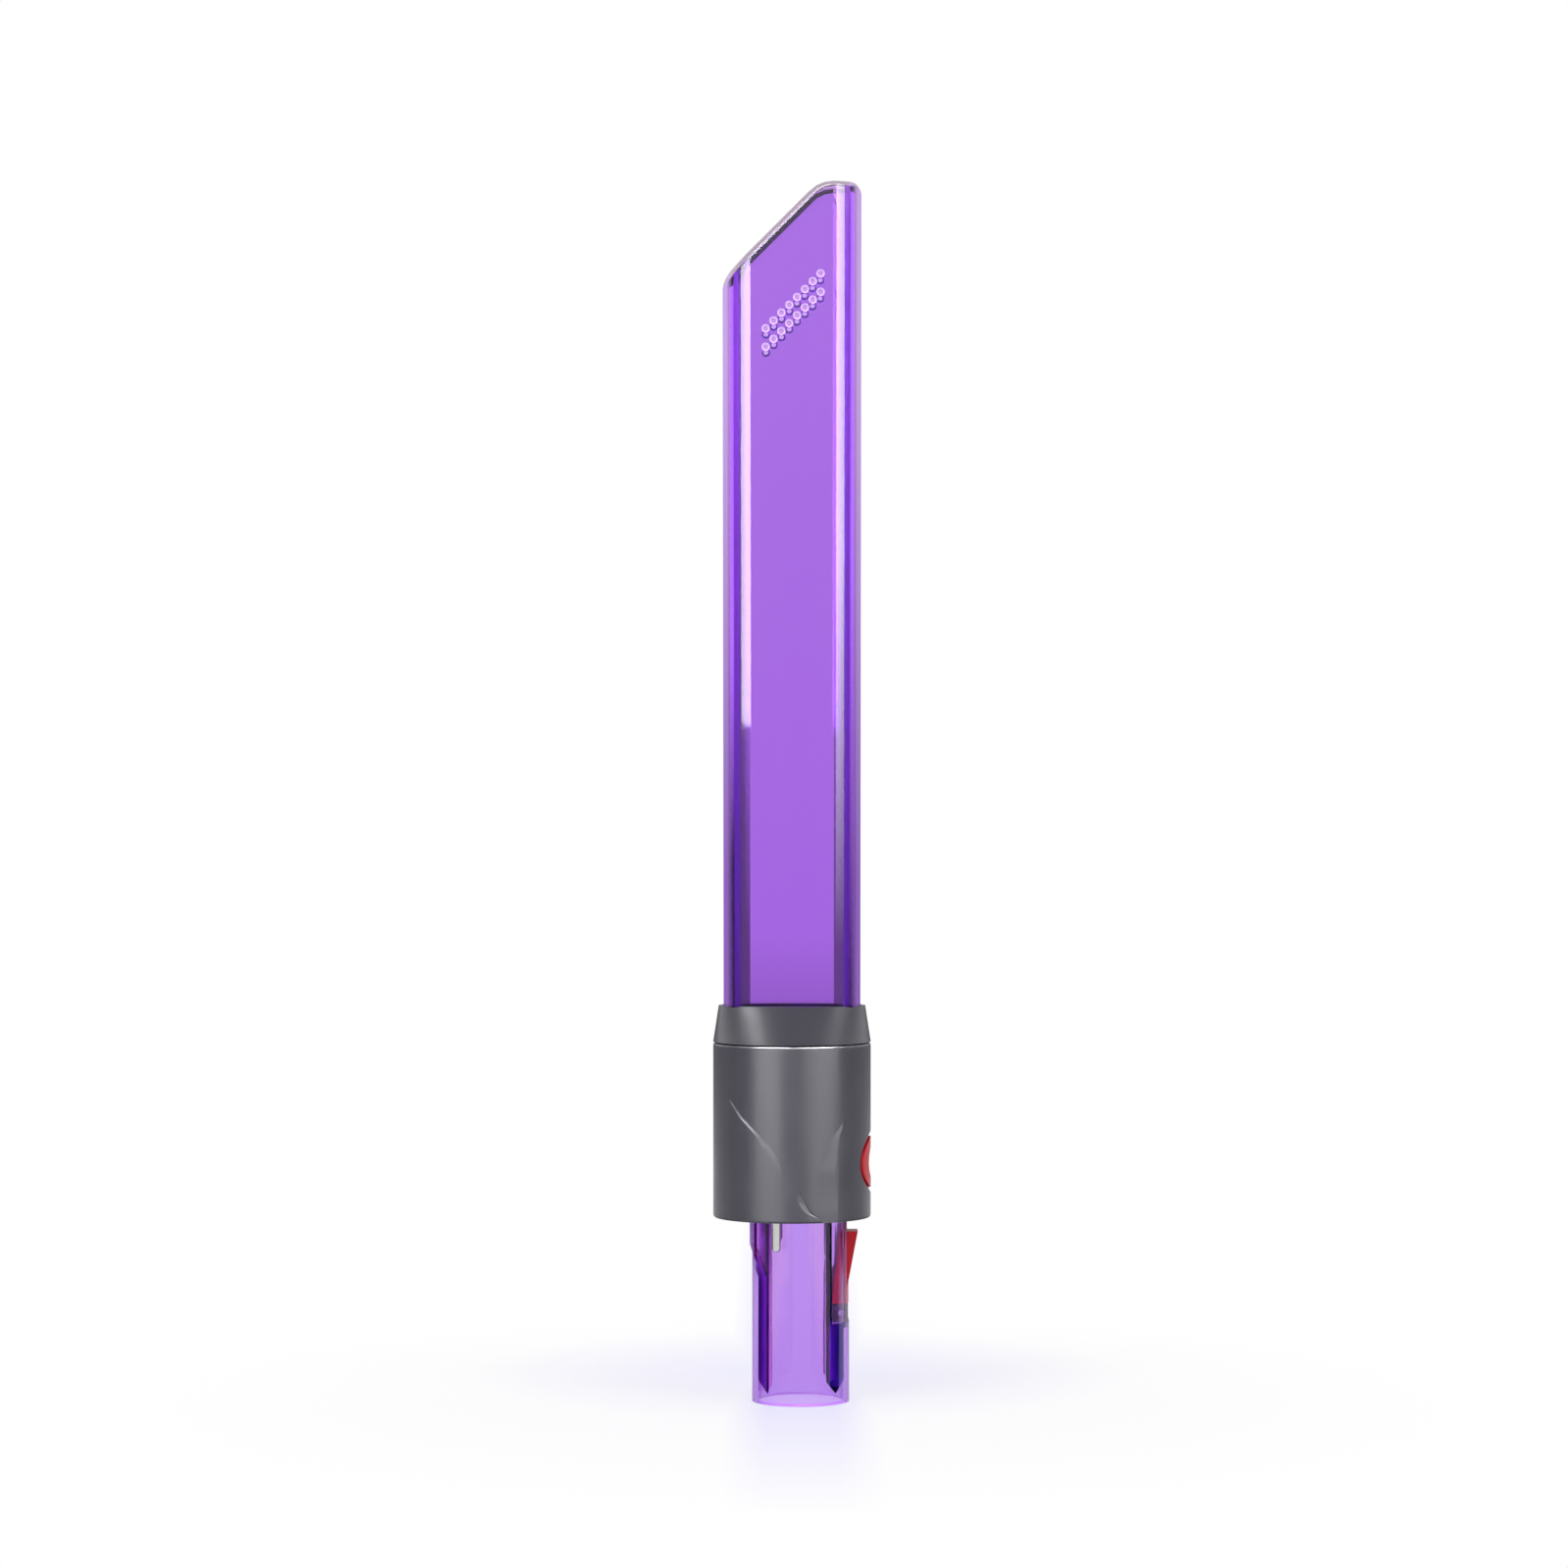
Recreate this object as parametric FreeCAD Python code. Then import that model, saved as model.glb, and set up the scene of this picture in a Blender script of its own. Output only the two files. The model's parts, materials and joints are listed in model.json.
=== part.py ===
import FreeCAD, Part
import math
import os

# Crevice tool of a stick vacuum: clear blade, grey collar with lamp board, clear coupling
# tube with a release latch. Millimetres, +Z up, origin at the centre of the tube's lower end.

os.makedirs("parts", exist_ok=True)

V = FreeCAD.Vector
X, Y, Z = V(1, 0, 0), V(0, 1, 0), V(0, 0, 1)

# Clearances
seat_gap = 0.05
slip_gap = 0.3
run_gap = 0.05
bore_gap = 0.05
button_gap = 0.5

# The blade and the collar share an axis that lies beside the tube's axis.
collar_x = -2.5

# Coupling tube: it ends inside the collar, where its outside has a little draft
tube_r = 14.0
tube_wall = 1.8
tube_reach = 53.1
tube_in_collar = 42.9
tube_lead_in = 0.6
tube_draft = 0.1

# Walls that part the air duct from the sides of the tube
web_tip_z = 3.0
web_tip_rise = 3.5
left_web_x = -8.7
left_web_thick = 2.5
left_pad_drop = 7.7
left_pad_slope = 9.1
left_pad_height = 28.6
left_pad_proud = 0.7
left_pad_half = 6.0
right_web_x = 7.0
right_web_thick = 1.4
heel_tip_x = 9.4
heel_thick = 4.3
floor_thick = 1.5

# Latch pocket in the tube
pocket_floor_z = 23.0
slot_half = 4.5
wide_slot_half = 6.9
wide_slot_under = 1.1
pocket_over = 1.2
pocket_roof_rise = 4.6
roof_thick = 1.6

# Collar sleeve
sleeve_r = 22.75
sleeve_wall = 2.0
sleeve_height = 50.4
sleeve_edge_r = 0.7
sleeve_top_edge_r = 1.0
lip_height = 0.9
lip_width = 1.45
ledge_thick = 1.15
rib_thick = 1.6
rib_rise = 2.0

# Creases in the sleeve: degrees round the collar from +X, height above the sleeve's rim, and the
# crease's reach and depth there as shares of the two sizes
crease_depth = 0.45
crease_reach = 9.0
left_crease_path = [(217.5, 35.2, 0.2, 0.05), (226.7, 31.8, 0.35, 0.8), (239, 27.6, 0.5, 1.0),
                    (249, 24.3, 0.7, 1.0), (256.5, 20.5, 0.9, 0.6), (263.5, 15.5, 0.9, 0.3),
                    (272, 11, 0.8, 0.3), (278.5, 7, 0.7, 0.5), (285.5, 2.8, 0.6, 0.8),
                    (293.5, -1.6, 0.5, 0.9)]
right_crease_path = [(311, 31.5, 0.2, 0.05), (305.5, 26.6, 0.5, 0.5), (300, 24, 0.9, 0.8),
                     (294.7, 20.4, 1.3, 1.0), (289.5, 15.6, 1.6, 1.1), (288.2, 11.6, 1.8, 1.1),
                     (289.2, 7, 1.75, 1.1), (291, 2.8, 1.65, 1.1), (293.8, -1.6, 1.45, 1.1)]

# Collar shoulder
part_line = 0.15
shoulder_height = 10.6
shoulder_rim_w = 1.45
shoulder_rim_d = 3.5
shoulder_wall = 1.6
shoulder_plate = 2.0
tab_height = 4.0
tab_thick = 1.25
tab_arc = 24.0

# Nozzle pipe
blade_half_w_root = 19.7
blade_half_w_tip = 20.03
blade_half_t = 10.0
blade_corner_r = 8.3
blade_wall = 3.0
blade_foot_rise = 6.5
blade_length = 241.0
mouth_x = 7.83
mouth_angle = 45.0
mouth_round_r = 9.6
tip_round_r = 3.0
lip_round_r = 2.0
corner_lap = 0.05
lamp_room = 2.0
socket_wall = 1.8
neck_rise = 1.0
seal_height = 1.2
seal_step_r = 12.4

# Bleed holes
bleed_count = 8
bleed_step = 2.25
bleed_x = 8.2
bleed_drop = 26.8
bleed_row_drop = 5.27
bleed_r = 0.75
bleed_sink_r = 1.2
bleed_sink_depth = 0.5

# Release latch
pivot_x = 11.2
pivot_rise = 2.7
latch_turn = 5.0
latch_eye_r = 1.7
latch_eye_half = 1.8
arm_half = 4.0
arm_rise = 2.7
arm_skin = 0.2
arm_upper_x = 13.3
hook_drop = 4.0
hook_length = 15.6
hook_x = 16.45
block_half = 5.2
block_drop = 10.4
button_rise = 15.9
button_half_y = 10.2
button_half_z = 7.35
recess_rim = 1.2
recess_depth = 0.5
flange_half = 6.2
flange_thick = 1.6
flange_under = 8.8
flange_over = 9.0
dish_depth = 0.6
dish_r = 16.0

# Latch pivot
pin_r = 0.8
cheek_thick = 2.0
cheek_gap = 0.3
block_height = 4.85
block_base = 0.7

# Latch spring
spring_r = 2.2
spring_wire = 0.5
spring_turns = 5
wire_sides = 8
channel_gap = 0.75
peg_r = 1.5
peg_length = 1.4

# Base plate, contact pins and their carrier
plate_thick = 2.0
pin_x = -7.0
pin_y = 15.7
contact_r = 1.25
contact_shank_r = 1.45
contact_reach = 8.8
contact_step = 0.5
carrier_height = 6.0
carrier_edge_x = -3.5
contact_head_r = 1.9
contact_head = 0.9
contact_tail_r = 0.6
contact_tail = 3.0

# Lamp board
board_thick = 1.4
board_rise = 27.5
led_count = 6
led_first = 30.0
led_inset = 1.0
led_size = (1.6, 2.8, 1.2)
chip_size = (4.0, 5.0, 1.4)
chip_edge = 4.35
chip_pitch = 1.27
resistor_size = (1.2, 2.0, 0.6)
resistor_angles = (112.0, 135.0, 225.0)
resistor_ring_r = 17.4
post_edge = 3.33
post_angle = 22.67
post_r = 2.1
screw_r = 0.85
screw_head_r = 1.8
screw_head = 1.2
cross_half = 1.0
screw_length = 7.0
lead_r = 0.6
lead_edge = 1.8
lead_angle = 113.93
lead_straight = 2.0

# Heights, from the tube's end up through the collar to the tip of the blade
tube_length = tube_reach + tube_in_collar
sleeve_z = tube_reach
sleeve_top_z = sleeve_z + sleeve_height
shoulder_top_z = sleeve_top_z + shoulder_height
plate_z = sleeve_z + lip_height + seat_gap
plate_top_z = plate_z + plate_thick
contact_top_z = plate_top_z + seat_gap + carrier_height
contact_tip_z = sleeve_z - contact_reach
board_z = sleeve_z + board_rise
board_top_z = board_z + board_thick
socket_z = board_top_z + lamp_room
neck_z = tube_length + neck_rise
blade_root_z = sleeve_top_z + blade_foot_rise
blade_top_z = blade_root_z + blade_length
left_pad_z = sleeve_z - left_pad_drop
left_web_turn_z = left_pad_z - left_pad_slope
left_pad_top_z = left_pad_z + left_pad_height
pivot_z = pocket_floor_z + pivot_rise
arm_z = pivot_z + arm_rise
hook_z = sleeve_z - hook_drop
hook_root_z = hook_z - hook_length
button_z = sleeve_z + button_rise
block_z = button_z - block_drop
flange_low_z = button_z - flange_under
flange_top_z = button_z + flange_over
wide_slot_z = block_z - wide_slot_under
pocket_top_z = flange_top_z + pocket_over

# Radii and places that mating pieces share
tube_bore_r = tube_r - tube_wall
sleeve_bore_r = sleeve_r - sleeve_wall
socket_bore_r = tube_r + slip_gap
socket_r = socket_bore_r + socket_wall
web_back_x = right_web_x + right_web_thick
flange_r = sleeve_bore_r - slip_gap
flange_back_x = collar_x + flange_r - flange_thick
plate_r = sleeve_bore_r - slip_gap
post_x = collar_x - (plate_r - post_edge) * math.cos(math.radians(post_angle))
post_y = (plate_r - post_edge) * math.sin(math.radians(post_angle))
chip_x = collar_x - plate_r + chip_edge
led_ring_r = tube_r + 2 * slip_gap + led_inset
lip_bore_r = sleeve_bore_r - lip_width
lead_land_x = collar_x + (lip_bore_r - lead_edge) * math.cos(math.radians(lead_angle))
lead_land_y = (lip_bore_r - lead_edge) * math.sin(math.radians(lead_angle))
shoulder_half_w = blade_half_w_root + shoulder_rim_w
shoulder_half_d = blade_half_t + shoulder_rim_d


def cylinder(r, z0, z1, x=0.0, y=0.0):
    return Part.makeCylinder(r, z1 - z0, V(x, y, z0), Z)


def box(x0, x1, y0, y1, z0, z1):
    return Part.makeBox(x1 - x0, y1 - y0, z1 - z0, V(x0, y0, z0))


def side_prism(points, half):
    """Solid with the outline (x, z), from y = -half to y = half."""
    wire = Part.makePolygon([V(x, -half, z) for x, z in points + points[:1]])
    return Part.Face(wire).extrude(V(0, 2 * half, 0))


def revolved(profile, x=0.0, y=0.0):
    """Solid turned about the upright line through (x, y), from points (radius, z)."""
    wire = Part.makePolygon([V(x + r, y, z) for r, z in profile + profile[:1]])
    return Part.Face(wire).revolve(V(x, y, 0), Z, 360)


def oval_prism(x0, x1, half_y, half_z):
    """Oval bar along X at the height of the button."""
    curve = Part.Ellipse(V(x0, half_y, button_z), V(x0, 0, button_z + half_z), V(x0, 0, button_z))
    return Part.Face(Part.Wire(curve.toShape())).extrude(V(x1 - x0, 0, 0))


def round_ring(z, x, r):
    """Circle in eight arcs, one for each edge of the blade's foot."""
    angles = [-12, 12, 52, 128, 168, 192, 232, 308, 348]

    def at(angle):
        return V(x + r * math.cos(math.radians(angle)), r * math.sin(math.radians(angle)), z)

    edges = []
    for a0, a1 in zip(angles[:-1], angles[1:]):
        edges.append(Part.Arc(at(a0), at((a0 + a1) / 2), at(a1)).toShape())
    return Part.Wire(edges)


def swept_rod(path, r, start, direction):
    ring = Part.Wire(Part.makeCircle(r, start, direction))
    return Part.Wire(path).makePipeShell([ring], True, True)


def save(shape, name):
    shape.exportStep("parts/" + name + ".step")


def coupling_tube():
    shell = revolved([(tube_bore_r, tube_lead_in), (tube_bore_r + tube_lead_in, 0), (tube_r, 0),
                      (tube_r, pocket_floor_z), (tube_r - tube_draft, tube_length),
                      (tube_bore_r, tube_length)])
    inside = cylinder(tube_bore_r + 0.4 * tube_wall, 0, tube_length)

    left_back = left_web_x - left_web_thick
    pad_x = -tube_r - left_pad_proud
    left = [(left_web_x, left_web_turn_z), (left_web_x, web_tip_z + 0.3 * web_tip_rise),
            (left_web_x - 0.1 * left_web_thick, web_tip_z), (left_back, web_tip_z + web_tip_rise),
            (left_back, left_web_turn_z), (pad_x, left_pad_z), (pad_x + left_web_thick, left_pad_z)]
    left_web = side_prism(left, tube_r).common(inside)
    pad = [(left_web_x, left_web_turn_z), (left_back, left_web_turn_z), (pad_x, left_pad_z),
           (pad_x, left_pad_top_z), (pad_x + left_web_thick, left_pad_top_z + left_web_thick),
           (pad_x + left_web_thick, left_pad_z)]
    left_pad = side_prism(pad, left_pad_half).common(cylinder(-pad_x, 0, tube_length))

    wall_x = tube_r - 0.5 * tube_wall
    right = [(right_web_x, web_tip_z + web_tip_rise), (heel_tip_x, web_tip_z),
             (right_web_x + heel_thick, web_tip_z + web_tip_rise),
             (right_web_x + heel_thick, pocket_floor_z - floor_thick),
             (wall_x, pocket_floor_z - floor_thick), (wall_x, pocket_floor_z),
             (web_back_x, pocket_floor_z), (web_back_x, pocket_top_z),
             (wall_x, pocket_top_z + pocket_roof_rise),
             (wall_x, pocket_top_z + pocket_roof_rise + roof_thick),
             (right_web_x, pocket_top_z + roof_thick)]
    right_web = side_prism(right, tube_r).common(inside)
    peg = Part.makeCylinder(peg_r, peg_length + 0.5, V(web_back_x - 0.5, 0, button_z), X)

    body = shell.fuse([left_web, left_pad, right_web, peg])
    slot = box(tube_bore_r - 2.6, tube_r + 2, -slot_half, slot_half, pocket_floor_z, wide_slot_z)
    wide = box(tube_bore_r - 2.6, tube_r + 2, -wide_slot_half, wide_slot_half,
               wide_slot_z, pocket_top_z)
    return body.cut([slot, wide]).removeSplitter()


def blade_bar(z0, inset):
    """Tapered flat bar with rounded long edges, set in from the blade's outside."""
    def half_w(z):
        share = (z - blade_root_z) / (blade_top_z - blade_root_z)
        return blade_half_w_root + share * (blade_half_w_tip - blade_half_w_root) - inset

    z1 = blade_top_z + 2
    bar = side_prism([(collar_x - half_w(z0), z0), (collar_x + half_w(z0), z0),
                      (collar_x + half_w(z1), z1), (collar_x - half_w(z1), z1)],
                     blade_half_t - inset)
    long_edges = [e for e in bar.Edges if abs(e.Vertexes[0].Z - e.Vertexes[-1].Z) > 0.5 * (z1 - z0)]
    return bar.makeFillet(blade_corner_r - inset, long_edges)


def middle_normal(face):
    u0, u1, v0, v1 = face.ParameterRange
    return face.normalAt((u0 + u1) / 2, (v0 + v1) / 2)


def shares_edge(face, edge):
    return any(edge.isSame(other) for other in face.Edges)


def neck(z0, r, bar):
    """Loft from a round ring of the socket to the foot of a blade bar."""
    foot = min(bar.Faces, key=lambda face: face.CenterOfMass.z).OuterWire
    return Part.makeLoft([round_ring(z0, 0, r), foot], True, True)


def nozzle_pipe():
    step_z = tube_length + seal_height + 2 * seat_gap
    bar = blade_bar(blade_root_z, 0)
    outer = bar.fuse([neck(neck_z, socket_r, bar), cylinder(socket_r, socket_z, neck_z)])
    duct = blade_bar(blade_root_z, blade_wall)
    duct = duct.fuse(neck(step_z, seal_step_r, duct))
    bore = cylinder(socket_bore_r, socket_z - 1, step_z)

    side = blade_half_w_tip + corner_lap
    low = blade_top_z - (mouth_x + side + 5) / math.tan(math.radians(mouth_angle))
    outline = side_prism([(collar_x - side - 5, socket_z - 1), (collar_x + side, socket_z - 1),
                          (collar_x + side, blade_top_z), (collar_x + mouth_x, blade_top_z),
                          (collar_x - side - 5, low)], blade_half_t + 5)

    def top_edge(x):
        return [e for e in outline.Edges
                if all(abs(v.X - x) < 1e-3 and abs(v.Z - blade_top_z) < 1e-3 for v in e.Vertexes)]

    outline = outline.makeFillet(mouth_round_r, top_edge(collar_x + mouth_x))
    outline = outline.makeFillet(tip_round_r, top_edge(collar_x + side))
    body = outer.common(outline)
    mouth = [f for f in body.Faces if f.CenterOfMass.z > blade_root_z and middle_normal(f).z > 0.3]
    lip = [e for e in body.Edges if sum(shares_edge(f, e) for f in mouth) == 1]
    body = body.makeFillet(min(lip_round_r, 0.8 * blade_wall), lip).cut([duct, bore])

    holes = []
    for row in range(2):
        for i in range(bleed_count):
            x = collar_x + bleed_x - i * bleed_step
            z = blade_top_z - bleed_drop - row * bleed_row_drop - i * bleed_step
            half = blade_half_t
            drill = Part.makeCylinder(bleed_r, 2 * half + 2, V(x, -half - 1, z), Y)
            front = Part.makeCone(bleed_sink_r, bleed_r, bleed_sink_depth, V(x, -half, z), Y)
            back = Part.makeCone(bleed_sink_r, bleed_r, bleed_sink_depth, V(x, half, z), -Y)
            holes += [drill, front, back]
    return body.cut(holes)


def crease_tool(path, side):
    """Shallow wedge beside a path down the sleeve; it runs out on the path's given side."""
    rings = []
    for angle, height, reach, depth in path:
        z = sleeve_z + height
        deep = crease_depth * depth
        a0, a1 = math.radians(angle), math.radians(angle + side * crease_reach * reach)

        def at(r, a):
            return V(collar_x + r * math.cos(a), r * math.sin(a), z)

        pts = [at(sleeve_r + 0.6, a0), at(sleeve_r - deep, a0), at(sleeve_r + 0.1, a1)]
        rings.append(Part.makePolygon(pts + pts[:1]))
    return Part.makeLoft(rings, True, False)


def collar_sleeve():
    r0, r1 = sleeve_bore_r, sleeve_r
    ledge_z = board_z - seat_gap
    body = revolved([(r1, sleeve_z), (r1, sleeve_top_z), (r0, sleeve_top_z), (r0, ledge_z),
                     (lip_bore_r, ledge_z), (lip_bore_r, ledge_z - ledge_thick),
                     (r0, ledge_z - ledge_thick - lip_width), (r0, sleeve_z + lip_height),
                     (lip_bore_r, sleeve_z + lip_height), (lip_bore_r, sleeve_z)], collar_x)
    for z, r in ((sleeve_z, sleeve_edge_r), (sleeve_top_z, min(sleeve_top_edge_r, 0.7 * sleeve_wall))):
        rims = [e for e in body.Edges
                if isinstance(e.Curve, Part.Circle) and abs(e.Curve.Radius - r1) < 1e-6
                and abs(e.Curve.Center.z - z) < 1e-6]
        body = body.makeFillet(r, rims)

    ribs = []
    for angle in (50, 130, 230, 310):
        rib = box(0, r0 + 0.5 * sleeve_wall, -rib_thick / 2, rib_thick / 2,
                  socket_z + rib_rise, neck_z)
        rib.rotate(V(0, 0, 0), Z, angle)
        rib.translate(V(collar_x, 0, 0))
        ribs.append(rib)
    room = neck(neck_z, socket_r + slip_gap, blade_bar(blade_root_z, -slip_gap))
    room = room.fuse(cylinder(socket_r + slip_gap, socket_z - 1, neck_z))
    body = body.fuse(ribs).cut(room)

    window = oval_prism(collar_x + r0 - 8, collar_x + r1 + 2,
                        button_half_y + button_gap, button_half_z + button_gap)
    recess = oval_prism(collar_x + r0 - 8, collar_x + r1 + 2, button_half_y + button_gap + recess_rim,
                        button_half_z + button_gap + recess_rim)
    recess = recess.cut(cylinder(r1 - recess_depth, sleeve_z, sleeve_top_z, collar_x))
    left_crease = crease_tool(left_crease_path, -1)
    right_crease = crease_tool(right_crease_path, 1)
    pin_rooms = [cylinder(contact_shank_r + slip_gap, sleeve_z - 1, plate_z, pin_x, s * pin_y)
                 for s in (-1, 1)]
    return body.cut([window, recess, left_crease, right_crease] + pin_rooms).removeSplitter()


def collar_shoulder():
    z0 = sleeve_top_z + part_line

    def oval(z, a, b):
        return Part.Wire(Part.Ellipse(V(collar_x, 0, z), a, b).toShape())

    def ring(z, r):
        return Part.Wire(Part.makeCircle(r, V(collar_x, 0, z), Z))

    outer = Part.makeLoft([ring(z0, sleeve_r), oval(shoulder_top_z, shoulder_half_w,
                                                    shoulder_half_d)], True, True)
    under_z = shoulder_top_z - shoulder_plate
    inner = Part.makeLoft([ring(z0 - 0.01, sleeve_bore_r),
                           oval(under_z, shoulder_half_w - shoulder_wall,
                                shoulder_half_d - shoulder_wall)], True, True)
    passage = blade_bar(z0 - 1, -slip_gap)
    body = outer.cut([inner, passage])
    for angle in (55, 125, 235, 305):
        r1 = sleeve_bore_r - slip_gap
        sector = Part.makeCylinder(r1, tab_height + 2, V(collar_x, 0, z0 - tab_height),
                                   Z, tab_arc)
        core = cylinder(r1 - tab_thick, z0 - tab_height - 1, z0 + 3, collar_x)
        tab = sector.cut(core)
        tab.rotate(V(collar_x, 0, 0), Z, angle - tab_arc / 2)
        body = body.fuse(tab)
    return body.removeSplitter()


def collar_base_plate():
    z0, z1 = plate_z, plate_top_z
    plate = cylinder(plate_r, z0, z1, collar_x)
    post_top = board_z - seat_gap
    posts = [cylinder(post_r, z1 - 0.5, post_top, post_x, s * post_y) for s in (-1, 1)]
    body = plate.fuse(posts)
    notch_x = -tube_r - left_pad_proud - slip_gap
    tools = [cylinder(tube_r + slip_gap, z0 - 1, z1 + 1),
             box(notch_x, 0, -left_pad_half - slip_gap, left_pad_half + slip_gap, z0 - 1, z1 + 1)]
    for s in (-1, 1):
        tools.append(cylinder(contact_shank_r + bore_gap, z0 - 1, z1 + 1, pin_x, s * pin_y))
        tools.append(cylinder(screw_r, post_top - screw_length, post_top + 1, post_x, s * post_y))
    return body.cut(tools)


def contact_carrier():
    z0 = plate_top_z + seat_gap
    z1 = contact_top_z
    body = cylinder(sleeve_bore_r - 2 * slip_gap, z0, z1, collar_x)
    reach = sleeve_r
    notch_x = -tube_r - left_pad_proud - slip_gap
    tools = [cylinder(tube_r + 2 * slip_gap, z0 - 1, z1 + 1),
             box(carrier_edge_x, reach, -reach, reach, z0 - 1, z1 + 1),
             box(notch_x, 0, -left_pad_half - slip_gap, left_pad_half + slip_gap, z0 - 1, z1 + 1)]
    for s in (-1, 1):
        tools.append(cylinder(contact_shank_r + bore_gap, z0 - 1, z1 + 1, pin_x, s * pin_y))
        tools.append(cylinder(post_r + slip_gap, z0 - 1, z1 + 1, post_x, s * post_y))
    return body.cut(tools)


def contact_pin(side):
    """Round-nosed pin with a head on its carrier and a solder tail."""
    r, z0 = contact_r, contact_tip_z
    head_z = contact_top_z + seat_gap
    top = head_z + contact_head
    y = side * pin_y
    step_z = sleeve_z + contact_step
    body = cylinder(r, z0 + r, step_z + 1, pin_x, y)
    shank = cylinder(contact_shank_r, step_z, head_z + 0.5 * contact_head, pin_x, y)
    nose = Part.makeSphere(r, V(pin_x, y, z0 + r))
    head = cylinder(contact_head_r, head_z, top, pin_x, y)
    tail = cylinder(contact_tail_r, top - 0.1, top + contact_tail, pin_x, y)
    return body.fuse([nose, shank, head, tail]).removeSplitter()


def lead(side):
    """Insulated lead: up from the tail of a contact pin, over in an S bend, to the board."""
    z0 = contact_top_z + seat_gap + contact_head + contact_tail + seat_gap
    z1 = board_z - seat_gap
    over = V(lead_land_x - pin_x, side * (lead_land_y - pin_y), 0)
    reach = over.Length
    bend_z0, bend_z1 = z0 + lead_straight, z1 - lead_straight
    tilt = math.atan2(reach, bend_z1 - bend_z0)
    half = math.hypot(reach, bend_z1 - bend_z0) / 2
    sag = half / 2 * math.tan(tilt / 2)

    def at(share, height):
        return V(pin_x, side * pin_y, 0) + over * share + V(0, 0, height)

    def bulge(share, height, sign):
        push = over * (sign * sag * math.cos(tilt) / reach)
        return at(share, height) + push + V(0, 0, -sign * sag * math.sin(tilt))

    rise = bend_z1 - bend_z0
    first = at(0, bend_z0)
    middle = at(0.5, bend_z0 + rise / 2)
    last = at(1, bend_z1)
    path = [Part.LineSegment(at(0, z0), first).toShape(),
            Part.Arc(first, bulge(0.25, bend_z0 + rise / 4, -1), middle).toShape(),
            Part.Arc(middle, bulge(0.75, bend_z0 + rise * 3 / 4, 1), last).toShape(),
            Part.LineSegment(last, at(1, z1)).toShape()]
    return swept_rod(path, lead_r, at(0, z0), Z)


def led_board():
    body = cylinder(plate_r, board_z, board_top_z, collar_x)
    tools = [cylinder(tube_r + 2 * slip_gap, board_z - 1, board_top_z + 1)]
    for s in (-1, 1):
        tools.append(cylinder(screw_r + bore_gap, board_z - 1, board_top_z + 1,
                              post_x, s * post_y))
    return body.cut(tools)


def on_board(size, r, angle):
    """Small block on the board, its long side along the ring."""
    a, b, h = size
    z0 = board_top_z + seat_gap
    body = box(r - a / 2, r + a / 2, -b / 2, b / 2, z0, z0 + h)
    body.rotate(V(0, 0, 0), Z, angle)
    return body


def led(i):
    a, b, h = led_size
    angle = led_first + i * 360.0 / led_count
    body = on_board(led_size, led_ring_r, angle)
    lens = cylinder(0.35 * a, board_top_z + seat_gap + 0.7 * h, board_top_z + seat_gap + 1.1 * h,
                    led_ring_r)
    lens.rotate(V(0, 0, 0), Z, angle)
    return body.fuse(lens).removeSplitter()


def driver_chip():
    a, b, h = chip_size
    z0 = board_top_z + seat_gap
    body = box(chip_x - a / 2, chip_x + a / 2, -b / 2, b / 2, z0 + 0.15, z0 + h)
    legs = []
    for i in range(4):
        y = (i - 1.5) * chip_pitch
        foot = [(chip_x + a / 2 + 0.9, z0), (chip_x + a / 2 + 0.9, z0 + 0.2),
                (chip_x + a / 2 + 0.45, z0 + 0.2), (chip_x + a / 2 + 0.3, z0 + 0.7),
                (chip_x + a / 2 - 0.1, z0 + 0.7), (chip_x + a / 2 - 0.1, z0 + 0.5),
                (chip_x + a / 2 + 0.15, z0 + 0.5), (chip_x + a / 2 + 0.3, z0)]
        right = side_prism(foot, 0.2)
        right.translate(V(0, y, 0))
        left = right.mirror(V(chip_x, 0, 0), X)
        legs += [right, left]
    return body.fuse(legs)


def board_screws():
    screws = []
    z0 = board_top_z + seat_gap
    for s in (-1, 1):
        y = s * post_y
        tip = board_z - seat_gap - screw_length + 0.5
        shank = cylinder(screw_r, tip, z0 + 0.2, post_x, y)
        head = cylinder(screw_head_r, z0, z0 + screw_head, post_x, y)
        a, b = cross_half, cross_half / 5
        z1, z2 = z0 + 0.5 * screw_head, z0 + screw_head + 1
        cross = [box(post_x - a, post_x + a, y - b, y + b, z1, z2),
                 box(post_x - b, post_x + b, y - a, y + a, z1, z2)]
        screws.append(shank.fuse(head).cut(cross).removeSplitter())
    return Part.makeCompound(screws)


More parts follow.
